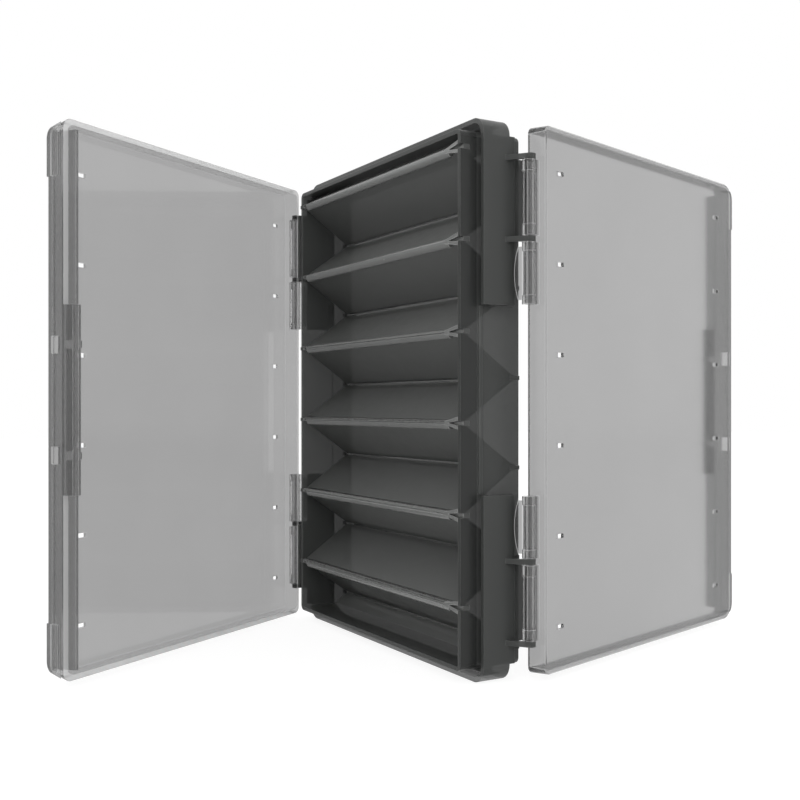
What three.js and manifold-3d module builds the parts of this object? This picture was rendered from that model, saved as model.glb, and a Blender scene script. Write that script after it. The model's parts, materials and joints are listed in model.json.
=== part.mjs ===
// A double-sided lure box: a smoke-grey case with slanted dividers, open on both
// faces, and two clear grey lids hinged on opposite long edges.
// Millimetres, +Z up. X runs across the case, Y through its depth (front face at -Y).
// The origin is the middle of the grip band's bottom face, on which the box stands.
import * as THREE from "three";
import { mergeVertices } from "three/addons/utils/BufferGeometryUtils.js";
import Module from "manifold-3d";

const wasm = await Module();
wasm.setup();

// Fits and cuts
const clearance = 0.3; // between pieces that touch or turn in each other
const overrun = 1; // how far a cut runs past the face it opens

// Grip band round the middle of the case
const bandWidth = 145;
const bandHeight = 206;
const bandDepth = 11.5;
const bandWall = 1.8;
const bandCornerRadius = 6.5;
const recessLength = 69.2; // finger recess cut from the band on each long side

// Case walls inside the band
const caseDepth = 26;
const caseWall = 1.6;
const sideInset = 4.4; // band outside to case outside, on the long sides
const endInset = 4.8; // the same at top and bottom
const caseCornerRadius = 2.4;
const webThickness = 1.2; // joins the case to the band
const braceReach = 14; // diagonal wall across each corner of the band, along the end
const braceDrop = 5.3; // the same, down the side
const braceThickness = 0.9;

// Catch rail that a lid's snap bumps hook behind
const railInset = 0.45; // band's front edge to the rail
const railWidth = 1.6;
const railHeight = 0.7;

// Lids
const lidEndInset = 2.9; // band outside to the panel's edge, at top and bottom
const lidDraft = 0.5; // how far the rim stands out past the panel, at top and bottom
const panelGap = 1.35; // case front edge to the inside of the panel
const panelThickness = 1.3;
const panelEdge = 0.6; // bevel round the outside of the panel
const rimGap = 1.8; // band's front edge to the rim
const lidWall = 1.5;
const panelCornerRadius = 6.6; // latch side, at the panel
const rimCornerRadius = 3.6; // latch side, at the rim
const hollowCornerRadius = 4;
const hingeCornerRadius = 2.8;
const hingeWallOut = 2.1; // lid's hinge side past the band's side
const sectionDepth = 0.02; // of each flat section that the lid's outside runs through
const lipThickness = 1.2;
const lipPlay = 0.4; // lip to the inside of the band
const lipReach = 3.8; // lip past the rim
const latchLipReach = 5.05; // the same in the finger recess
const lipEndInset = 3.9; // end of the lip below the panel's edge
const shoulderDepth = 2; // step that carries the lip inside the lid's wall
const tongueReach = 4.5; // finger tongue past the rim, in the recess
const grooveInset = 1.3; // panel's inside to the groove in the latch wall
const grooveWidth = 0.6;
const grooveDepth = 0.4;
const cornerPadLength = 20.1;
const cornerPadDepth = 6;
const cornerPadHeight = 0.8;
const openFront = 59; // degrees that the front lid stands open
const openBack = 73.7;

// Snap bumps on the lid's lip, and the windows in the wall outside them
const snapSpacing = 39.6;
const bumpLength = 2.8;
const bumpWidth = 0.9;
const bumpHeight = 0.5;
const snapBlockLength = 2.9; // joins lip and tongue behind a bump
const snapBlockDepth = 2.9;
const windowLength = 6.2;
const windowWidth = 3.5;
const windowInset = 0.65; // panel's inside to the window

// Vent slots through the lid's panel
const ventLength = 3.8;
const ventWidth = 1.7;
const ventFromHinge = 7.2;
const ventFromLatch = 15.5;

// Hinges
const axisOut = 5.4; // hinge axis outside the band's long side
const axisBack = 4.75; // hinge axis beyond the band's edge, through the depth
const pinRadius = 1;
const knuckleRadius = 2.2;
const tabRadius = 2.6;
const tabLength = 4;
const armThickness = 1.4;
const earThickness = 1.9;
const earInset = 14.4; // end of the band to the middle of a hinge's outer ear
const earSpacing = 29.9; // middle of the outer ear to the middle of the inner one
const knuckleOverhang = 23.8; // middle of the inner ear to the hinge's inner end
const earRadius = 2.4;
const earEyeStart = 150; // degrees round the pin where the ear's eye begins
const earEyeEnd = 55;
const earFootReach = 1.9; // ear's foot past the band's edge, along its side
const bowReach = 5.4; // outermost reach of the curved leaf from the axis
const bowEndReach = 4;
const bowThickness = 1.2;
const bowAngle = 120; // degrees from the lid's own wall
const bowEndTab = 3.2;

// Dividers
const ridgeCount = 6; // on each face
const endRidgeRoom = 4.75; // the last ridge on each face to the nearer end wall
const ridgeRadius = 1.25;
const dividerThickness = 1.3;
const tabThickness = 1; // flat end of a ridge bar, in its notch
const tabDepth = 3.7;
const tongueDepth = 2.4; // of the bar's flat stretch next to the tab
const forkTongueInset = 1.4; // the same stretch and tab behind the front, at the fork
const tabProud = 0.4;
const notchDepth = 4;
const forkLength = 8.8;
const forkShoulder = 2.7; // root of the fork to the bottom of its mouth
const forkSpread = 2.3;
const forkTine = 1.4;
const forkDepth = 1.6;
const eyeRadius = 0.6;
const eyeInset = 1.3;

// Round stretches
const cornerSegments = 8;
const roundSegments = 20;

// Places worked out from the sizes above
const bandHalfWidth = bandWidth / 2;
const bandHalfHeight = bandHeight / 2;
const bandHalfDepth = bandDepth / 2;
const caseHalfWidth = bandHalfWidth - sideInset;
const caseHalfHeight = bandHalfHeight - endInset;
const caseHalfDepth = caseDepth / 2;
const innerHalfWidth = caseHalfWidth - caseWall;
const innerHalfHeight = caseHalfHeight - caseWall;
const lidHalfHeight = bandHalfHeight - lidEndInset;
const lidInner = -(caseHalfDepth + panelGap);
const lidOuter = lidInner - panelThickness;
const lidEdge = -(bandHalfDepth + rimGap);
const lidHingeSide = -bandHalfWidth - hingeWallOut;
const lipOuter = bandHalfWidth - bandWall - lipPlay;
const lipInner = lipOuter - lipThickness;
const latchHalfLength = recessLength / 2 - 2 * clearance;
const latchLipEdge = lidEdge + latchLipReach;
const axisX = -(bandHalfWidth + axisOut);
const axisY = -(bandHalfDepth + axisBack);
const boreRadius = pinRadius + clearance;
const rimFromAxis = [axisOut - hingeWallOut + lidWall, lidEdge - axisY];
const swingRadius = Math.hypot(...rimFromAxis) + clearance; // kept free round the pin
const outerEarHeight = bandHalfHeight - earInset; // from mid-height, as the next two
const innerEarHeight = outerEarHeight - earSpacing;
const hingeEnd = innerEarHeight - knuckleOverhang;
const halfPitches = (ridgeCount - 1) / 2 + 1 / 4; // mid-height to the last ridge
const ridgePitch = (innerHalfHeight - endRidgeRoom) / halfPitches;
const ridgeOffset = ridgePitch / 4; // front ridges stand above mid-height by this
const barHalfLength = innerHalfWidth - clearance;
const ridgeY = caseHalfDepth - ridgeRadius;

// Materials
function smokePlastic() {
  const material = new THREE.MeshStandardMaterial();
  material.color.set(0x2b2c2c);
  material.roughness = 0.28;
  material.metalness = 0;
  material.transparent = true;
  material.opacity = 0.88;
  return material;
}

function clearPlastic() {
  const material = new THREE.MeshStandardMaterial();
  material.color.set(0x9a9c9c);
  material.roughness = 0.12;
  material.metalness = 0;
  material.transparent = true;
  material.opacity = 0.45;
  return material;
}

function pinPlastic() {
  const material = new THREE.MeshStandardMaterial();
  material.color.set(0x3a3b3b);
  material.roughness = 0.3;
  material.metalness = 0;
  return material;
}

// Solids for joining and cutting
function solidOf(geometry) {
  const bare = geometry.index ? geometry : geometry.clone();
  bare.deleteAttribute("normal");
  bare.deleteAttribute("uv");
  const merged = mergeVertices(bare);
  const mesh = new wasm.Mesh({
    numProp: 3,
    vertProperties: merged.attributes.position.array,
    triVerts: new Uint32Array(merged.index.array),
  });
  return new wasm.Manifold(mesh);
}

function geometryOf(solid) {
  const mesh = solid.getMesh();
  const geometry = new THREE.BufferGeometry();
  geometry.setAttribute("position", new THREE.BufferAttribute(mesh.vertProperties, mesh.numProp));
  geometry.setIndex(new THREE.BufferAttribute(mesh.triVerts, 1));
  const faceted = geometry.toNonIndexed();
  faceted.computeVertexNormals();
  return faceted;
}

function joined(solids) {
  return solids.reduce((whole, next) => whole.add(next));
}

// A box between two corners
function block(low, high) {
  const size = high.map((value, i) => value - low[i]);
  const geometry = new THREE.BoxGeometry(...size);
  geometry.translate(...low.map((value, i) => value + size[i] / 2));
  return solidOf(geometry);
}

function extruded(shape, length) {
  const options = { depth: length, bevelEnabled: false, curveSegments: cornerSegments };
  return new THREE.ExtrudeGeometry(shape, options);
}

// A shape drawn in X and Z, run through the depth from yLow to yHigh
function slab(shape, yLow, yHigh) {
  const geometry = extruded(shape, yHigh - yLow);
  geometry.rotateX(Math.PI / 2);
  geometry.translate(0, yHigh, 0);
  return solidOf(geometry);
}

// A shape drawn in X and Y, run upwards from zLow to zHigh
function column(shape, zLow, zHigh) {
  const geometry = extruded(shape, zHigh - zLow);
  geometry.translate(0, 0, zLow);
  return solidOf(geometry);
}

// A shape drawn in Y and Z, run sideways from xLow to xHigh
function bar(shape, xLow, xHigh) {
  const geometry = extruded(shape, xHigh - xLow);
  const turn = new THREE.Matrix4().makeBasis(
    new THREE.Vector3(0, 1, 0),
    new THREE.Vector3(0, 0, 1),
    new THREE.Vector3(1, 0, 0),
  );
  geometry.applyMatrix4(turn);
  geometry.translate(xLow, 0, 0);
  return solidOf(geometry);
}

function upright(radius, x, y, zLow, zHigh) {
  const geometry = new THREE.CylinderGeometry(radius, radius, zHigh - zLow, roundSegments);
  geometry.rotateX(Math.PI / 2);
  geometry.translate(x, y, (zLow + zHigh) / 2);
  return solidOf(geometry);
}

// A rectangle in X and Z whose corners are rounded, low X side first
function roundedOutline(xLow, xHigh, zHalf, lowRadius, highRadius) {
  const shape = new THREE.Shape();
  const quarter = Math.PI / 2;
  shape.moveTo(xLow + lowRadius, -zHalf);
  shape.lineTo(xHigh - highRadius, -zHalf);
  shape.absarc(xHigh - highRadius, -zHalf + highRadius, highRadius, -quarter, 0);
  shape.lineTo(xHigh, zHalf - highRadius);
  shape.absarc(xHigh - highRadius, zHalf - highRadius, highRadius, 0, quarter);
  shape.lineTo(xLow + lowRadius, zHalf);
  shape.absarc(xLow + lowRadius, zHalf - lowRadius, lowRadius, quarter, 2 * quarter);
  shape.lineTo(xLow, -zHalf + lowRadius);
  shape.absarc(xLow + lowRadius, -zHalf + lowRadius, lowRadius, 2 * quarter, 3 * quarter);
  return shape;
}

function polygon(points) {
  return new THREE.Shape(points.map(([a, b]) => new THREE.Vector2(a, b)));
}

// A ring between an outline of the stated half sizes and the same one inset by its wall
function ring(halfWidth, halfHeight, radius, wall, yLow, yHigh) {
  const outer = roundedOutline(-halfWidth, halfWidth, halfHeight, radius, radius);
  const bore = radius - wall;
  const inner = roundedOutline(-halfWidth + wall, halfWidth - wall, halfHeight - wall, bore, bore);
  return slab(outer, yLow, yHigh).subtract(slab(inner, yLow - overrun, yHigh + overrun));
}

// Height of a ridge from mid-height, the top one first
function ridgeHeight(index, face) {
  return face * ridgeOffset + ((ridgeCount - 1) / 2 - index) * ridgePitch;
}

// Case: walls, web, grip band, catch rails and hinge ears, in one moulding
function gripBand() {
  const band = ring(bandHalfWidth, bandHalfHeight, bandCornerRadius, bandWall, -bandHalfDepth, bandHalfDepth);
  const outer = roundedOutline(-bandHalfWidth, bandHalfWidth, bandHalfHeight, bandCornerRadius, bandCornerRadius);
  const inner = roundedOutline(
    -caseHalfWidth,
    caseHalfWidth,
    caseHalfHeight,
    caseCornerRadius,
    caseCornerRadius,
  );
  const halfWeb = webThickness / 2;
  const web = slab(outer, -halfWeb, halfWeb).subtract(slab(inner, -bandDepth, bandDepth));
  const recess = (side) => {
    const near = side * caseHalfWidth;
    const far = side * (bandHalfWidth + overrun);
    const low = [Math.min(near, far), -bandDepth, -recessLength / 2];
    const high = [Math.max(near, far), bandDepth, recessLength / 2];
    return block(low, high);
  };
  const braces = [1, -1].map((side) => cornerBrace().mirror([1 - side, 0, 0]));
  const upper = joined(braces);
  return joined([band, web, upper, upper.mirror([0, 0, 1])]).subtract(recess(1)).subtract(recess(-1));
}

// The diagonal wall that closes off a pocket in the band's corner
function cornerBrace() {
  const start = [bandHalfWidth - braceReach, bandHalfHeight - bandWall / 2];
  const end = [bandHalfWidth - bandWall / 2, bandHalfHeight - braceDrop];
  const shape = polygon([
    start,
    end,
    [end[0], end[1] - braceThickness],
    [start[0], start[1] - braceThickness],
  ]);
  return slab(shape, -bandHalfDepth, bandHalfDepth);
}

function caseWalls() {
  const walls = ring(
    caseHalfWidth,
    caseHalfHeight,
    caseCornerRadius,
    caseWall,
    -caseHalfDepth,
    caseHalfDepth,
  );
  const notches = [];
  const halfNotch = tabThickness / 2 + clearance;
  for (const face of [1, -1]) {
    for (let i = 0; i < ridgeCount; i += 1) {
      const z = ridgeHeight(i, face);
      const mouth = -face * (caseHalfDepth + overrun);
      const root = -face * (caseHalfDepth - notchDepth);
      const low = [-caseHalfWidth - overrun, Math.min(mouth, root), z - halfNotch];
      const high = [caseHalfWidth + overrun, Math.max(mouth, root), z + halfNotch];
      notches.push(block(low, high));
    }
  }
  return walls.subtract(joined(notches));
}

// The rail for the front lid, on the side away from its hinge
function catchRail() {
  const front = -bandHalfDepth + railInset;
  const low = [caseHalfWidth - caseWall / 2, front, -recessLength / 2 + clearance];
  const high = [caseHalfWidth + railHeight, front + railWidth, recessLength / 2 - clearance];
  return block(low, high);
}

// Points given from the hinge axis, towards the band (X) and the other face (Y)
function fromAxis(points) {
  return points.map(([x, y]) => [axisX + x, axisY + y]);
}

// One ear of the front lid's hinge: a plate from the band's edge to an eye round the pin
function hingeEar(middle) {
  const foot = axisOut + bandWall / 2;
  const edge = axisBack + clearance;
  const shape = new THREE.Shape();
  const start = THREE.MathUtils.degToRad(earEyeStart);
  const end = THREE.MathUtils.degToRad(earEyeEnd);
  const points = fromAxis([
    [foot, edge],
    [foot, axisBack + earFootReach],
    [axisOut, axisBack + earFootReach],
    [earRadius * Math.cos(start), earRadius * Math.sin(start)],
    [axisOut - 2 * clearance, axisBack - clearance / 2],
    [axisOut - clearance, edge],
  ]);
  shape.moveTo(...points[0]);
  shape.lineTo(...points[1]);
  shape.lineTo(...points[2]);
  shape.lineTo(...points[3]);
  shape.absarc(axisX, axisY, earRadius, start, end);
  shape.lineTo(...points[4]);
  shape.lineTo(...points[5]);
  const half = earThickness / 2;
  const plate = column(shape, middle - half, middle + half);
  const bore = upright(boreRadius, axisX, axisY, middle - earThickness, middle + earThickness);
  return plate.subtract(bore);
}

// The band's side carried on under the lid's hinge: flush with the band up to where
// the rim of the turning lid comes past, and set back from there between the ears
function hingeWall(low, high) {
  const inside = axisX + axisOut + bandWall;
  const flushEnd = axisY + Math.sqrt(swingRadius ** 2 - axisOut ** 2);
  const top = bandHalfHeight - bandCornerRadius;
  const flush = block([-bandHalfWidth, flushEnd, recessLength / 2], [inside, -bandHalfDepth / 2, top]);
  const back = block([axisX + swingRadius, -caseHalfDepth, low], [inside, -bandHalfDepth, high]);
  return flush.add(back);
}

function hingeCarrier(side) {
  const ears = [innerEarHeight, outerEarHeight].map(hingeEar);
  const carrier = joined([...ears, hingeWall(innerEarHeight, outerEarHeight)]);
  return side > 0 ? carrier : carrier.mirror([0, 0, 1]);
}

function caseFrame() {
  const half = joined([catchRail(), hingeCarrier(1), hingeCarrier(-1)]);
  const turned = half.rotate([0, 0, 180]);
  return joined([caseWalls(), gripBand(), half, turned]);
}

// Ridge bar: the round edge that carries two dividers, with a flat tab at each end,
// a fork at one end and a small eye at the other
function forkShape() {
  const root = barHalfLength - forkLength;
  const tip = barHalfLength;
  const notch = root + forkShoulder;
  const inside = forkSpread - forkTine;
  return polygon([
    [root, -ridgeRadius / 2],
    [tip, -forkSpread],
    [tip, -inside],
    [notch, 0],
    [tip, inside],
    [tip, forkSpread],
    [root, ridgeRadius / 2],
  ]);
}

// A flat stretch of the bar, from one depth behind the case's front edge to another
function flatTab(xLow, xHigh, from, to) {
  const half = tabThickness / 2;
  return block([xLow, -caseHalfDepth + from, -half], [xHigh, -caseHalfDepth + to, half]);
}

function ridgeBar() {
  const forkRoot = barHalfLength - forkLength;
  const rod = new THREE.CylinderGeometry(
    ridgeRadius,
    ridgeRadius,
    forkRoot + forkTine / 2 + barHalfLength,
    roundSegments,
  );
  rod.rotateZ(Math.PI / 2);
  rod.translate((forkRoot + forkTine / 2 - barHalfLength) / 2, -ridgeY, 0);
  const fork = slab(forkShape(), -caseHalfDepth, -caseHalfDepth + forkDepth);
  const forkTongue = flatTab(forkRoot, caseHalfWidth, forkTongueInset, tongueDepth);
  const forkTab = flatTab(innerHalfWidth, caseHalfWidth, forkTongueInset, tabDepth);
  const eyeTongue = flatTab(-caseHalfWidth, -barHalfLength + tabThickness, -tabProud, tongueDepth);
  const eyeTab = flatTab(-caseHalfWidth, -innerHalfWidth, -tabProud, tabDepth);
  const eye = new THREE.CylinderGeometry(eyeRadius, eyeRadius, ridgeRadius + overrun, roundSegments);
  eye.translate(-barHalfLength + tabThickness + eyeInset, -ridgeY - (ridgeRadius + overrun) / 2, 0);
  const pieces = [solidOf(rod), fork, forkTongue, forkTab, eyeTongue, eyeTab];
  return joined(pieces).subtract(solidOf(eye));
}

// Divider: a flat plate between the two points (Y, Z), short of each ridge bar
function divider(from, to, trimFrom, trimTo) {
  const start = new THREE.Vector2(...from);
  const end = new THREE.Vector2(...to);
  const along = end.clone().sub(start).normalize();
  const across = new THREE.Vector2(-along.y, along.x).multiplyScalar(dividerThickness / 2);
  const a = start.clone().addScaledVector(along, trimFrom);
  const b = end.clone().addScaledVector(along, -trimTo);
  const shape = new THREE.Shape([
    a.clone().sub(across),
    b.clone().sub(across),
    b.clone().add(across),
    a.clone().add(across),
  ]);
  return bar(shape, -barHalfLength, barHalfLength);
}

// The short plate from the top ridge bar to the case's top wall, cut to fit the wall
function endPlate() {
  const top = ridgeHeight(0, 1);
  const rise = innerHalfHeight - top;
  const slope = (2 * ridgeY) / (ridgePitch / 2);
  const end = [-ridgeY + rise * slope, top + rise];
  const plate = divider([-ridgeY, top], end, ridgeRadius + clearance, -dividerThickness);
  const halfWidth = innerHalfWidth - clearance;
  const radius = caseCornerRadius - caseWall - clearance;
  const room = roundedOutline(-halfWidth, halfWidth, innerHalfHeight - clearance, radius, radius);
  return plate.intersect(slab(room, -caseHalfDepth, caseHalfDepth));
}

// Lid, as it lies when closed over the front face
function lidSection(inset, zHalf, radius, reach, y) {
  const high = bandHalfWidth + reach - inset;
  const shape = roundedOutline(lidHingeSide + inset, high, zHalf - inset, hingeCornerRadius, radius);
  return slab(shape, y, y + sectionDepth);
}

// The lid's outside: a bevelled panel whose ends flare out to the rim
function lidOutside(reach) {
  const face = lidSection(panelEdge, lidHalfHeight, panelCornerRadius, reach, lidOuter);
  const panel = lidSection(0, lidHalfHeight, panelCornerRadius, reach, lidOuter + panelEdge);
  const rimHeight = lidHalfHeight + lidDraft;
  const rim = lidSection(0, rimHeight, rimCornerRadius, reach, lidEdge - sectionDepth);
  return wasm.Manifold.hull([face, panel, rim]);
}

function lidShell() {
  const hollow = roundedOutline(
    lidHingeSide + lidWall,
    bandHalfWidth - lidWall,
    lidHalfHeight - lidWall,
    hingeCornerRadius - lidWall,
    hollowCornerRadius,
  );
  return lidOutside(0).subtract(slab(hollow, lidInner, lidEdge + overrun));
}

// The lip that enters the groove between the case and the band, on the latch side
function lidLip() {
  const half = lidHalfHeight - lipEndInset;
  const root = lidEdge - shoulderDepth;
  const wall = bandHalfWidth - lidWall / 2;
  const lip = block([lipInner, root, -half], [lipOuter, lidEdge + lipReach, half]);
  const longer = block([lipInner, root, -latchHalfLength], [lipOuter, latchLipEdge, latchHalfLength]);
  const shoulder = block([lipInner, root, -half], [wall, lidEdge, half]);
  return joined([lip, longer, shoulder]);
}

function latchTongue() {
  return block(
    [bandHalfWidth - lidWall, lidEdge - shoulderDepth, -latchHalfLength],
    [bandHalfWidth, lidEdge + tongueReach, latchHalfLength],
  );
}

// A snap bump on the lip, with the block that joins lip and tongue behind it
function snapBump(z) {
  const halfBump = bumpLength / 2;
  const halfBlock = snapBlockLength / 2;
  const middle = lipInner + lipThickness / 2;
  const wall = bandHalfWidth - lidWall / 2;
  const bumpLow = [lipInner - bumpHeight, latchLipEdge - bumpWidth, z - halfBump];
  const bump = block(bumpLow, [middle, latchLipEdge, z + halfBump]);
  const core = block([middle, lidEdge, z - halfBlock], [wall, lidEdge + snapBlockDepth, z + halfBlock]);
  return bump.add(core);
}

// The groove along the inside of the latch wall
function wallGroove() {
  const half = lidHalfHeight - lipEndInset;
  const inner = bandHalfWidth - lidWall;
  const low = lidInner + grooveInset;
  return block([inner - overrun, low, -half], [inner + grooveDepth, low + grooveWidth, half]);
}

function snapWindow(z) {
  const half = windowLength / 2;
  const low = lidInner + windowInset;
  return block(
    [bandHalfWidth - lidWall - overrun, low, z - half],
    [bandHalfWidth + overrun, low + windowWidth, z + half],
  );
}

function ventSlots() {
  const slots = [];
  const columns = [-bandHalfWidth + ventFromHinge, bandHalfWidth - ventFromLatch];
  const halfLength = ventLength / 2;
  const halfWidth = ventWidth / 2;
  for (const x of columns) {
    for (let i = 0; i < ridgeCount; i += 1) {
      const z = ((ridgeCount - 1) / 2 - i) * ridgePitch;
      const low = [x - halfLength, lidOuter - overrun, z - halfWidth];
      const high = [x + halfLength, lidInner + overrun, z + halfWidth];
      slots.push(block(low, high));
    }
  }
  return joined(slots);
}

// Raised pads round the latch-side corners
function cornerPads() {
  const core = lidHalfHeight - cornerPadLength;
  const keepOut = block([-bandWidth, lidOuter - overrun, -core], [bandWidth, lidEdge + overrun, core]);
  const inner = block(
    [-bandWidth, lidOuter - overrun, -bandHeight],
    [bandHalfWidth - lidWall / 2, lidEdge + overrun, bandHeight],
  );
  const beyond = block(
    [-bandWidth, lidOuter + cornerPadDepth, -bandHeight],
    [bandWidth, lidEdge + overrun, bandHeight],
  );
  return lidOutside(cornerPadHeight).subtract(joined([keepOut, inner, beyond]));
}

// Knuckles with their arms, the curved leaf and the bore for the pin, on one half
function lidHinge(side) {
  const halfEar = earThickness / 2;
  const outerSpan = [innerEarHeight + halfEar + clearance, outerEarHeight - halfEar - clearance];
  const innerSpan = [hingeEnd, innerEarHeight - halfEar - clearance];
  const pieces = [];
  for (const [low, high] of [outerSpan, innerSpan]) {
    pieces.push(upright(knuckleRadius, axisX, axisY, low, high));
    const armLow = axisY - knuckleRadius;
    const wallX = lidHingeSide + lidWall / 2;
    pieces.push(block([axisX, armLow, low], [wallX, armLow + armThickness, high]));
  }
  const [outerLow, outerHigh] = outerSpan;
  pieces.push(upright(tabRadius, axisX, axisY, outerLow, outerLow + tabLength));
  pieces.push(upright(tabRadius, axisX, axisY, outerHigh - tabLength, outerHigh));
  const [innerLow, innerHigh] = innerSpan;
  pieces.push(upright(tabRadius, axisX, axisY, innerLow, innerLow + bowEndTab));
  pieces.push(upright(tabRadius, axisX, axisY, innerHigh - bowEndTab, innerHigh));
  pieces.push(bowLeaf(innerLow + bowEndTab / 2, innerHigh - bowEndTab / 2));
  const bore = upright(boreRadius, axisX, axisY, hingeEnd - overrun, outerEarHeight + overrun);
  const hinge = joined(pieces).subtract(bore);
  return side > 0 ? hinge : hinge.mirror([0, 0, 1]);
}

function bowLeaf(low, high) {
  const angle = THREE.MathUtils.degToRad(bowAngle);
  const shape = new THREE.Shape();
  const root = (boreRadius + knuckleRadius) / 2;
  shape.moveTo(root, low);
  shape.lineTo(bowEndReach, low);
  shape.quadraticCurveTo(2 * bowReach - bowEndReach, (low + high) / 2, bowEndReach, high);
  shape.lineTo(root, high);
  const geometry = extruded(shape, bowThickness);
  geometry.translate(0, 0, -bowThickness / 2);
  const outward = new THREE.Vector3(Math.cos(angle), Math.sin(angle), 0);
  const up = new THREE.Vector3(0, 0, 1);
  const turn = new THREE.Matrix4().makeBasis(outward, up, outward.clone().cross(up));
  geometry.applyMatrix4(turn);
  geometry.translate(axisX, axisY, 0);
  return solidOf(geometry);
}

function lid() {
  const half = snapSpacing / 2;
  const body = joined([
    lidShell(),
    lidLip(),
    latchTongue(),
    snapBump(half),
    snapBump(-half),
    cornerPads(),
    lidHinge(1),
    lidHinge(-1),
  ]);
  return body.subtract(joined([snapWindow(half), snapWindow(-half), wallGroove(), ventSlots()]));
}

// Hinge pin, through both ears and the knuckles between them
function hingePin() {
  const top = outerEarHeight + earThickness / 2;
  return upright(pinRadius, 0, 0, hingeEnd, top);
}

// Assembly
const box = new THREE.Group();
box.position.z = bandHalfHeight;

function place(parent, name, geometry, material) {
  const mesh = new THREE.Mesh(geometry, material);
  mesh.name = name;
  parent.add(mesh);
  return mesh;
}

place(box, "case_frame", geometryOf(caseFrame()), smokePlastic());

const ridgeGeometry = geometryOf(ridgeBar());
const faces = [
  ["front", 1],
  ["back", -1],
];
for (const [name, face] of faces) {
  for (let i = 0; i < ridgeCount; i += 1) {
    const ridge = place(box, `${name}_ridge_bar_${i + 1}`, ridgeGeometry, smokePlastic());
    ridge.position.z = ridgeHeight(i, face);
    ridge.rotation.z = face > 0 ? 0 : Math.PI;
  }
}

const trim = ridgeRadius + clearance;
const frontPoint = [-ridgeY, 0];
const fallingPlate = geometryOf(divider(frontPoint, [ridgeY, -ridgePitch / 2], trim, trim));
const risingPlate = geometryOf(divider(frontPoint, [ridgeY, ridgePitch / 2], trim, trim));
for (let i = 0; i < ridgeCount; i += 1) {
  const falling = place(box, `divider_plate_${2 * i + 1}`, fallingPlate, smokePlastic());
  falling.position.z = ridgeHeight(i, 1);
  if (i > 0) {
    const rising = place(box, `divider_plate_${2 * i}`, risingPlate, smokePlastic());
    rising.position.z = ridgeHeight(i, 1);
  }
}

const endGeometry = geometryOf(endPlate());
place(box, "end_plate_top", endGeometry, smokePlastic());
const bottomEnd = place(box, "end_plate_bottom", endGeometry, smokePlastic());
bottomEnd.rotation.x = Math.PI;

const pinGeometry = geometryOf(hingePin());
for (const [name, face] of faces) {
  for (const [level, side] of [["upper", 1], ["lower", -1]]) {
    const pin = place(box, `${name}_hinge_pin_${level}`, pinGeometry, pinPlastic());
    pin.position.x = face * axisX;
    pin.position.y = face * axisY;
    pin.rotation.x = side > 0 ? 0 : Math.PI;
  }
}

const lidSolid = lid();
const lidGeometry = geometryOf(lidSolid);
lidGeometry.translate(-axisX, -axisY, 0);
const lidTurns = [
  ["front_lid", 1, -openFront],
  ["back_lid", -1, 180 - openBack],
];
for (const [name, face, turn] of lidTurns) {
  const cover = place(box, name, lidGeometry, clearPlastic());
  cover.position.x = face * axisX;
  cover.position.y = face * axisY;
  cover.rotation.z = THREE.MathUtils.degToRad(turn);
}

const lureBox = new THREE.Group();
lureBox.add(box);

export default lureBox;
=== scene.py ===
import json
import math

import bmesh
import bpy
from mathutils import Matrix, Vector


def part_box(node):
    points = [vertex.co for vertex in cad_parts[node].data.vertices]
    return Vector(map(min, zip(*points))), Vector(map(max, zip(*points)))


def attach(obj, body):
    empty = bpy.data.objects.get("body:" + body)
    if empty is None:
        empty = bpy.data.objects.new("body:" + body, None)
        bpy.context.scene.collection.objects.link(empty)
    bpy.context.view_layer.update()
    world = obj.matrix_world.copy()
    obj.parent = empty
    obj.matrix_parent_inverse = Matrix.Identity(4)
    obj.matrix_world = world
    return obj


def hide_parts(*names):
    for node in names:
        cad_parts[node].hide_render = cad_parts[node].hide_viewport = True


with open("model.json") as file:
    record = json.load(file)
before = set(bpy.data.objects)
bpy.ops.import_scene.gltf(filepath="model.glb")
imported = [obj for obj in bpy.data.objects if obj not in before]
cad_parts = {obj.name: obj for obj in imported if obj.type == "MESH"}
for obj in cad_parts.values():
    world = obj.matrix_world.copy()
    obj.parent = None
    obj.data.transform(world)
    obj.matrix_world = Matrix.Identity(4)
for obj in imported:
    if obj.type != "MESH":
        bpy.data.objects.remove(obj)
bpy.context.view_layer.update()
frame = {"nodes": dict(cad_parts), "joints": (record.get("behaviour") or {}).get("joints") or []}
nodes = frame["nodes"]

MM = 0.001
scene = bpy.context.scene

# Camera, level, near the front right corner of the standing box
FRAME_PX = 800
FOCAL_PX = 1041
CENTRE_X_PX = 400.7
HORIZON_PX = 406.75
SENSOR = 36
CAMERA_PLACE = (381.6 * MM, -220.3 * MM, 100.6 * MM)
CAMERA_TILT = 90
CAMERA_HEADING = 59.8
NEAREST = 10 * MM
FARTHEST = 20

camera_data = bpy.data.cameras.new("camera")
camera_data.sensor_width = SENSOR
camera_data.lens = FOCAL_PX / FRAME_PX * SENSOR
camera_data.shift_x = (FRAME_PX / 2 - CENTRE_X_PX) / FRAME_PX
camera_data.shift_y = (HORIZON_PX - FRAME_PX / 2) / FRAME_PX
camera_data.clip_start = NEAREST
camera_data.clip_end = FARTHEST
camera = bpy.data.objects.new("camera", camera_data)
camera.location = CAMERA_PLACE
camera.rotation_euler = (math.radians(CAMERA_TILT), 0, math.radians(CAMERA_HEADING))
scene.collection.objects.link(camera)
scene.camera = camera


# Node helpers
MIX_COLOURS = (6, 7)
MIX_RESULT = 2


def new_material(name):
    material = bpy.data.materials.new(name)
    material.use_nodes = True
    tree = material.node_tree
    tree.nodes.clear()
    output = tree.nodes.new("ShaderNodeOutputMaterial")
    return material, tree, output


def add(tree, kind, **inputs):
    node = tree.nodes.new(kind)
    for name, value in inputs.items():
        node.inputs[name.replace("_", " ")].default_value = value
    return node


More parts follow.
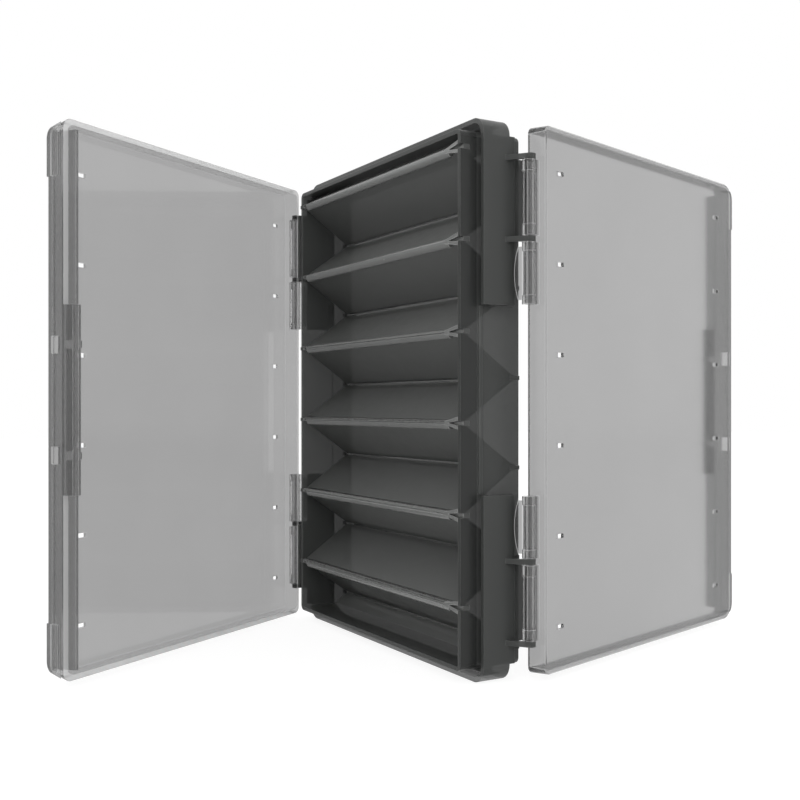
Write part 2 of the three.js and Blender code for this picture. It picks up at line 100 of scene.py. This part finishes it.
def maths(tree, operation, first, second=0):
    node = tree.nodes.new("ShaderNodeMath")
    node.operation = operation
    for socket, value in zip(node.inputs, (first, second)):
        if isinstance(value, (int, float)):
            socket.default_value = value
        else:
            tree.links.new(value, socket)
    return node.outputs[0]


def along(tree, vector, direction):
    node = tree.nodes.new("ShaderNodeVectorMath")
    node.operation = "DOT_PRODUCT"
    tree.links.new(vector, node.inputs[0])
    if isinstance(direction, Vector):
        node.inputs[1].default_value = direction
    else:
        tree.links.new(direction, node.inputs[1])
    return node.outputs["Value"]


def ranged(tree, value, low, high, to_low=0, to_high=1):
    node = add(tree, "ShaderNodeMapRange", From_Min=low, From_Max=high, To_Min=to_low, To_Max=to_high)
    tree.links.new(value, node.inputs["Value"])
    return node.outputs["Result"]


def noise(tree, place, scale, detail, roughness):
    node = add(tree, "ShaderNodeTexNoise", Scale=scale, Detail=detail, Roughness=roughness)
    tree.links.new(place.outputs["Object"], node.inputs["Vector"])
    return node.outputs["Fac"]


def blend_colour(tree, kind, factor, first, second):
    node = tree.nodes.new("ShaderNodeMix")
    node.data_type = "RGBA"
    node.blend_type = kind
    if isinstance(factor, (int, float)):
        node.inputs["Factor"].default_value = factor
    else:
        tree.links.new(factor, node.inputs["Factor"])
    for socket, value in zip(MIX_COLOURS, (first, second)):
        if isinstance(value, tuple):
            node.inputs[socket].default_value = (*value, 1)
        else:
            tree.links.new(value, node.inputs[socket])
    return node.outputs[MIX_RESULT]


def seen_rays(tree, *kinds):
    path = tree.nodes.new("ShaderNodeLightPath")
    value = path.outputs[kinds[0]]
    for kind in kinds[1:]:
        value = maths(tree, "MAXIMUM", value, path.outputs[kind])
    return value


# Zones of a lid: above is towards the open side of its hollow, beyond is towards its latch.
# A pair is where a zone begins to show and where it shows in full; facing pairs are cosines.
RIM_ABOVE_PIN = 2.95 * MM
RIM_TOLERANCE = 0.3 * MM
RIM_FACING = (0.8, 0.9)
PANEL_BELOW_PIN = 2.8 * MM
LATCH_FROM_PIN = 149 * MM
END_FACING = (0.85, 0.75)
END_SHADE_COLOUR = (0.09, 0.09, 0.09)
KNUCKLE_FADE = (2.9 * MM, 2.5 * MM)
KNUCKLE_COLOUR = (0.57, 0.57, 0.57)
EDGE_HIGHLIGHT_CLEARNESS = 0.5


def lid_zones(tree, place, lid, body, on_edge_highlight):
    """Painted highlight on the rim's end faces, painted shade on the panel's end by the latch, and the
    clear knuckles.
    """
    facing, reaching, pin = lid
    outward = along(tree, place.outputs["Normal"], facing)
    above = maths(tree, "SUBTRACT", along(tree, place.outputs["Object"], facing), facing @ pin)
    beyond = maths(tree, "SUBTRACT", along(tree, place.outputs["Object"], reaching), reaching @ pin)

    # Painted highlight on the rim's end faces.
    from_rim = maths(tree, "ABSOLUTE", maths(tree, "SUBTRACT", above, RIM_ABOVE_PIN))
    at_rim = maths(tree, "LESS_THAN", from_rim, RIM_TOLERANCE)
    rim_highlight = maths(tree, "MULTIPLY", ranged(tree, outward, *RIM_FACING), at_rim)

    # Painted shade: the panel's side faces towards the latch take a dark colour and lose their edge
    # highlight.
    on_side = ranged(tree, maths(tree, "ABSOLUTE", outward), *END_FACING)
    by_panel = maths(tree, "LESS_THAN", above, -PANEL_BELOW_PIN)
    by_latch = maths(tree, "GREATER_THAN", beyond, LATCH_FROM_PIN)
    end_painted_shade = maths(tree, "MULTIPLY", maths(tree, "MULTIPLY", on_side, by_panel), by_latch)

    squares = [maths(tree, "MULTIPLY", value, value) for value in (above, beyond)]
    from_pin = maths(tree, "SQRT", maths(tree, "ADD", *squares))
    on_knuckle = ranged(tree, from_pin, *KNUCKLE_FADE)

    body = blend_colour(tree, "MIX", end_painted_shade, body, END_SHADE_COLOUR)
    body = blend_colour(tree, "MIX", on_knuckle, body, KNUCKLE_COLOUR)
    on_edge_highlight = maths(tree, "MULTIPLY", on_edge_highlight, maths(tree, "SUBTRACT", 1, end_painted_shade))
    return body, maths(tree, "MAXIMUM", on_edge_highlight, rim_highlight)


# Painted shade on the case's side wall, outside and clear of the grip band
SIDE_FACE = 67.6 * MM
BAND_FACE = 5.9 * MM
LATCH_WALL_PAINTED_SHADE = (0.55, 0.55, 0.55)


def paint_latch_wall_shade(tree, place, body):
    """Painted shade: the side wall in front of each lid's latch is darkened."""
    parts = tree.nodes.new("ShaderNodeSeparateXYZ")
    tree.links.new(place.outputs["Object"], parts.inputs[0])
    x = parts.outputs["X"]
    y = parts.outputs["Y"]
    outside = maths(tree, "GREATER_THAN", maths(tree, "ABSOLUTE", x), SIDE_FACE)
    past_band = maths(tree, "GREATER_THAN", maths(tree, "ABSOLUTE", y), BAND_FACE)
    latch_side = maths(tree, "LESS_THAN", maths(tree, "MULTIPLY", x, y), 0)
    where = maths(tree, "MULTIPLY", maths(tree, "MULTIPLY", outside, past_band), latch_side)
    return blend_colour(tree, "MULTIPLY", where, body, LATCH_WALL_PAINTED_SHADE)


# Moulded plastic: faint flow clouding, small changes of gloss, and softened edges that carry a painted
# highlight
CLOUD_SHARES = (0.96, 1.04)
FINE_GRAIN = 6
GLOSS_SHARES = (0.85, 1.2)
EDGE_TURN = (0.995, 0.85)
EDGE_SAMPLES = 6
BUMP_STRENGTH = 0.03
BUMP_DEPTH = 0.4 * MM


def moulded_plastic(name, body, edge_highlight_colour, roughness, grain, edge_width, lid=None, painted_wall_shade=False, **settings):
    """Body colour and the painted highlight colour along edges; grain is the clouding's scale; settings go
    to the shader's own sockets.
    """
    material, tree, output = new_material(name)
    link = tree.links.new
    shader = add(tree, "ShaderNodeBsdfPrincipled", **settings)
    place = tree.nodes.new("ShaderNodeTexCoord")
    surface = tree.nodes.new("ShaderNodeNewGeometry")
    cloud = noise(tree, place, scale=grain, detail=4, roughness=0.5)
    fine = noise(tree, place, scale=grain * FINE_GRAIN, detail=3, roughness=0.6)
    bevel = add(tree, "ShaderNodeBevel", Radius=edge_width)
    bevel.samples = EDGE_SAMPLES

    body = blend_colour(tree, "MULTIPLY", 1, body, ranged(tree, cloud, 0, 1, *CLOUD_SHARES))
    # Painted highlight: edges found by the bevel normal get a lighter colour, and on lids let less light
    # through.
    turned = along(tree, bevel.outputs["Normal"], surface.outputs["True Normal"])
    on_edge_highlight = ranged(tree, turned, *EDGE_TURN)
    if lid:
        body, on_edge_highlight = lid_zones(tree, place, lid, body, on_edge_highlight)
        link(ranged(tree, on_edge_highlight, 0, 1, 1, EDGE_HIGHLIGHT_CLEARNESS), shader.inputs["Transmission Weight"])
    if painted_wall_shade:
        body = paint_latch_wall_shade(tree, place, body)
    link(blend_colour(tree, "MIX", on_edge_highlight, body, edge_highlight_colour), shader.inputs["Base Color"])
    gloss = [roughness * share for share in GLOSS_SHARES]
    link(ranged(tree, fine, 0, 1, *gloss), shader.inputs["Roughness"])
    bump = add(tree, "ShaderNodeBump", Strength=BUMP_STRENGTH, Distance=BUMP_DEPTH)
    link(cloud, bump.inputs["Height"])
    link(bevel.outputs["Normal"], bump.inputs["Normal"])
    link(bump.outputs["Normal"], shader.inputs["Normal"])
    link(shader.outputs["BSDF"], output.inputs["Surface"])
    return material


def clear_lid(joint):
    """A lid's clear grey. It stands open by what its joint can still close."""
    pin = Vector(joint["pos_m"])
    side = math.copysign(1, -pin.x)
    turn = math.radians(-max(joint["range_deg"]))
    facing = side * Vector((-math.sin(turn), math.cos(turn), 0))
    reaching = side * Vector((math.cos(turn), math.sin(turn), 0))
    return moulded_plastic(
        f"clear_grey_{joint['child']}", body=(0.41, 0.41, 0.41), edge_highlight_colour=(0.85, 0.85, 0.85),
        roughness=0.18, grain=30, edge_width=0.3 * MM, lid=(facing, reaching, pin),
        IOR=1.2, Coat_Weight=0.5, Coat_Roughness=0.05,
    )


CASE = moulded_plastic(
    "smoke_case", body=(0.066, 0.0686, 0.0665), edge_highlight_colour=(0.16, 0.165, 0.161),
    roughness=0.3, grain=40, edge_width=0.3 * MM, painted_wall_shade=True, Alpha=0.84, Specular_IOR_Level=0.25,
)
DIVIDER = moulded_plastic(
    "smoke_divider", body=(0.125, 0.1285, 0.125), edge_highlight_colour=(0.19, 0.194, 0.19),
    roughness=0.3, grain=40, edge_width=0.2 * MM, Alpha=0.88,
)
# Painted light: the end plates are lighter than the dividers, to lift the shade in the slots beside them.
END_PLATE_PAINTED_LIGHT = moulded_plastic(
    "smoke_end_plate_painted_light", body=(0.22, 0.225, 0.22), edge_highlight_colour=(0.28, 0.286, 0.28),
    roughness=0.3, grain=40, edge_width=0.2 * MM, Alpha=0.88,
)
# Painted highlight: the ridge bars are lighter than the dividers, with a brighter painted highlight along
# their edges.
RIDGE_PAINTED_HIGHLIGHT = moulded_plastic(
    "smoke_ridge_painted_highlight", body=(0.19, 0.195, 0.19), edge_highlight_colour=(0.48, 0.487, 0.48),
    roughness=0.25, grain=60, edge_width=0.5 * MM, Alpha=0.86, Coat_Weight=0.4,
)
TAB_PAINTED_SHADE = moulded_plastic(
    "smoke_tab_painted_shade", body=(0.05, 0.052, 0.05), edge_highlight_colour=(0.07, 0.072, 0.07),
    roughness=0.3, grain=60, edge_width=0.1 * MM,
)
PIN = moulded_plastic(
    "hinge_pin", body=(0.3, 0.3, 0.3), edge_highlight_colour=(0.4, 0.4, 0.4),
    roughness=0.25, grain=60, edge_width=0.2 * MM, Alpha=0.12,
)

# What each node's name holds, and its material; a lid's node is named as its body is
FINISHES = {joint["child"]: clear_lid(joint) for joint in frame["joints"]}
FINISHES.update(case_frame=CASE, divider_plate=DIVIDER, end_plate=END_PLATE_PAINTED_LIGHT, ridge_bar=RIDGE_PAINTED_HIGHLIGHT, hinge_pin=PIN)
for name, node in nodes.items():
    finish = next(material for words, material in FINISHES.items() if words in name)
    for slot in node.material_slots:
        slot.material = finish

# Ridge bars: rounded edges, a soft nose, and tabs that sit snug in their notches, with painted shade in the
# eye and on the tabs.
# Lengths are from a bar's ends; the nose's middle is from the bar's, outwards and up.
TAB_REACH = 1.85 * MM
TAB_MORE = 0.27 * MM
EYE_FROM_END = 4.2 * MM
EYE_REACH = 0.7 * MM
NOSE_FROM_EYE_END = 5.9 * MM
NOSE_FROM_FORK_END = 8.1 * MM
NOSE_OUT = 0.4 * MM
NOSE_UP = -0.6 * MM
NOSE_HALF_DEPTH = 1.25 * MM
NOSE_HALF_HEIGHT = 1.85 * MM
NOSE_SIDES = 20
SAME_PLACE = 0.001 * MM
FLAT_ANGLE = 2
EDGE_ROUND = 0.16 * MM
EDGE_SEGMENTS = 2
EDGE_ANGLE = 40


def widen_tabs(shape, side, centre, half_length):
    for vertex in shape.verts:
        if abs(vertex.co.x) > half_length - TAB_REACH:
            vertex.co.z += math.copysign(TAB_MORE, vertex.co.z - centre.z)
            if side * (vertex.co.y - centre.y) < 0:
                vertex.co.y -= side * TAB_MORE


# Painted shade: the faces inside the eye hole, and the tabs in the case's notches, take the dark material.
def paint_shade_on_eye_and_tabs(shape, side, centre, half_length, dark):
    eye_x = side * (half_length - EYE_FROM_END)
    for face in shape.faces:
        in_eye = all(
            math.hypot(vertex.co.x - eye_x, vertex.co.z - centre.z) < EYE_REACH for vertex in face.verts
        )
        if in_eye or abs(face.calc_center_median().x) > half_length - TAB_REACH:
            face.material_index = dark


def add_nose(shape, side, centre, half_length):
    """An elliptical bar along the ridge's edge, from beside the eye to beside the fork."""
    ends = []
    for x in (NOSE_FROM_EYE_END - half_length, half_length - NOSE_FROM_FORK_END):
        ring = []
        for i in range(NOSE_SIDES):
            turn = math.tau * i / NOSE_SIDES
            y = NOSE_OUT + NOSE_HALF_DEPTH * math.cos(turn)
            z = NOSE_UP + NOSE_HALF_HEIGHT * math.sin(turn)
            ring.append(shape.verts.new((-side * x, centre.y + side * y, centre.z + z)))
        ends.append(ring)
        shape.faces.new(ring)
    start, end = ends
    for i in range(NOSE_SIDES):
        j = (i + 1) % NOSE_SIDES
        shape.faces.new((start[j], start[i], end[i], end[j]))


def modify(piece, name, kind, **settings):
    modifier = piece.modifiers.new(name, kind)
    for setting, value in settings.items():
        setattr(modifier, setting, value)


def round_edges(bar):
    modify(bar, "weld", "WELD", merge_threshold=SAME_PLACE)
    modify(bar, "flat_faces", "DECIMATE", decimate_type="DISSOLVE", angle_limit=math.radians(FLAT_ANGLE))
    modify(
        bar, "round_edges", "BEVEL", width=EDGE_ROUND, segments=EDGE_SEGMENTS,
        limit_method="ANGLE", angle_limit=math.radians(EDGE_ANGLE), harden_normals=True,
    )
    modify(bar, "even_shading", "WEIGHTED_NORMAL", keep_sharp=True)


def round_bar(name):
    """A copy of a CAD ridge bar, made round. Side is -1 where it faces -Y, and 1 where it faces +Y."""
    low, high = map(Vector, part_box(name))
    centre = (low + high) / 2
    side = math.copysign(1, centre.y)
    mesh = nodes[name].data.copy()
    mesh.name = name.replace("bar", "round")
    mesh.materials.append(TAB_PAINTED_SHADE)
    shape = bmesh.new()
    shape.from_mesh(mesh)
    widen_tabs(shape, side, centre, high.x)
    paint_shade_on_eye_and_tabs(shape, side, centre, high.x, dark=len(mesh.materials) - 1)
    add_nose(shape, side, centre, high.x)
    bmesh.ops.recalc_face_normals(shape, faces=shape.faces)
    for face in shape.faces:
        face.smooth = True
    shape.to_mesh(mesh)
    shape.free()
    bar = bpy.data.objects.new(mesh.name, mesh)
    scene.collection.objects.link(bar)
    round_edges(bar)
    return bar


for name in [n for n in nodes if "ridge_bar" in n]:
    bar = round_bar(name)
    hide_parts(name)
    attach(bar, "case")

# Floor: plain and pale; a white ground where it is seen, with the object's shadow on it
HALF_FLOOR = 3.0
FLOOR_COLOUR = (0.8, 0.8, 0.8, 1)
FLOOR_GLOW = 1.2
SEEN_GLOW_SHARE = 0.75
MIRRORED_GLOW_SHARE = 0.9


def pale_floor():
    material, tree, output = new_material("pale_floor")
    lit = add(tree, "ShaderNodeBsdfDiffuse", Color=FLOOR_COLOUR)
    glow = tree.nodes.new("ShaderNodeEmission")
    strength = ranged(tree, seen_rays(tree, "Is Camera Ray"), 0, 1, 1, FLOOR_GLOW)
    tree.links.new(strength, glow.inputs["Strength"])
    seen = maths(tree, "MULTIPLY", seen_rays(tree, "Is Camera Ray"), SEEN_GLOW_SHARE)
    mirrored = seen_rays(tree, "Is Glossy Ray", "Is Transmission Ray")
    mirrored = maths(tree, "MULTIPLY", mirrored, MIRRORED_GLOW_SHARE)
    mix = tree.nodes.new("ShaderNodeMixShader")
    tree.links.new(maths(tree, "MAXIMUM", seen, mirrored), mix.inputs[0])
    tree.links.new(lit.outputs[0], mix.inputs[1])
    tree.links.new(glow.outputs[0], mix.inputs[2])
    tree.links.new(mix.outputs[0], output.inputs["Surface"])
    return material


floor_mesh = bpy.data.meshes.new("floor")
corners = [(-1, -1), (1, -1), (1, 1), (-1, 1)]
floor_mesh.from_pydata([(x * HALF_FLOOR, y * HALF_FLOOR, 0) for x, y in corners], [], [(0, 1, 2, 3)])
floor_mesh.materials.append(pale_floor())
floor = bpy.data.objects.new("floor", floor_mesh)
scene.collection.objects.link(floor)

# World: white where it is seen, a plain studio grey where it lights
WORLD_LIGHT = 0.77


def studio_world():
    world = bpy.data.worlds.new("studio")
    world.use_nodes = True
    tree = world.node_tree
    tree.nodes.clear()
    output = tree.nodes.new("ShaderNodeOutputWorld")
    background = add(tree, "ShaderNodeBackground", Color=(1, 1, 1, 1))
    seen = seen_rays(tree, "Is Camera Ray", "Is Glossy Ray", "Is Transmission Ray")
    tree.links.new(ranged(tree, seen, 0, 1, WORLD_LIGHT, 1), background.inputs["Strength"])
    tree.links.new(background.outputs[0], output.inputs["Surface"])
    return world


scene.world = studio_world()

# Soft studio lamps
LAMP_SIZE = 0.8
LAMP_TARGET = Vector((0, 0, 0.1))


def area_lamp(name, place, power):
    data = bpy.data.lights.new(name, "AREA")
    data.shape = "SQUARE"
    data.size = LAMP_SIZE
    data.energy = power
    lamp = bpy.data.objects.new(name, data)
    lamp.location = place
    lamp.visible_glossy = False
    lamp.visible_transmission = False
    lamp.rotation_euler = (LAMP_TARGET - Vector(place)).to_track_quat("-Z", "Y").to_euler()
    scene.collection.objects.link(lamp)


area_lamp("key", place=(0.85, -0.65, 0.8), power=3.4)
area_lamp("fill", place=(-0.8, -0.5, 0.6), power=2)
area_lamp("rim", place=(0.6, 0.9, 0.8), power=2.8)

scene.view_settings.view_transform = "Standard"
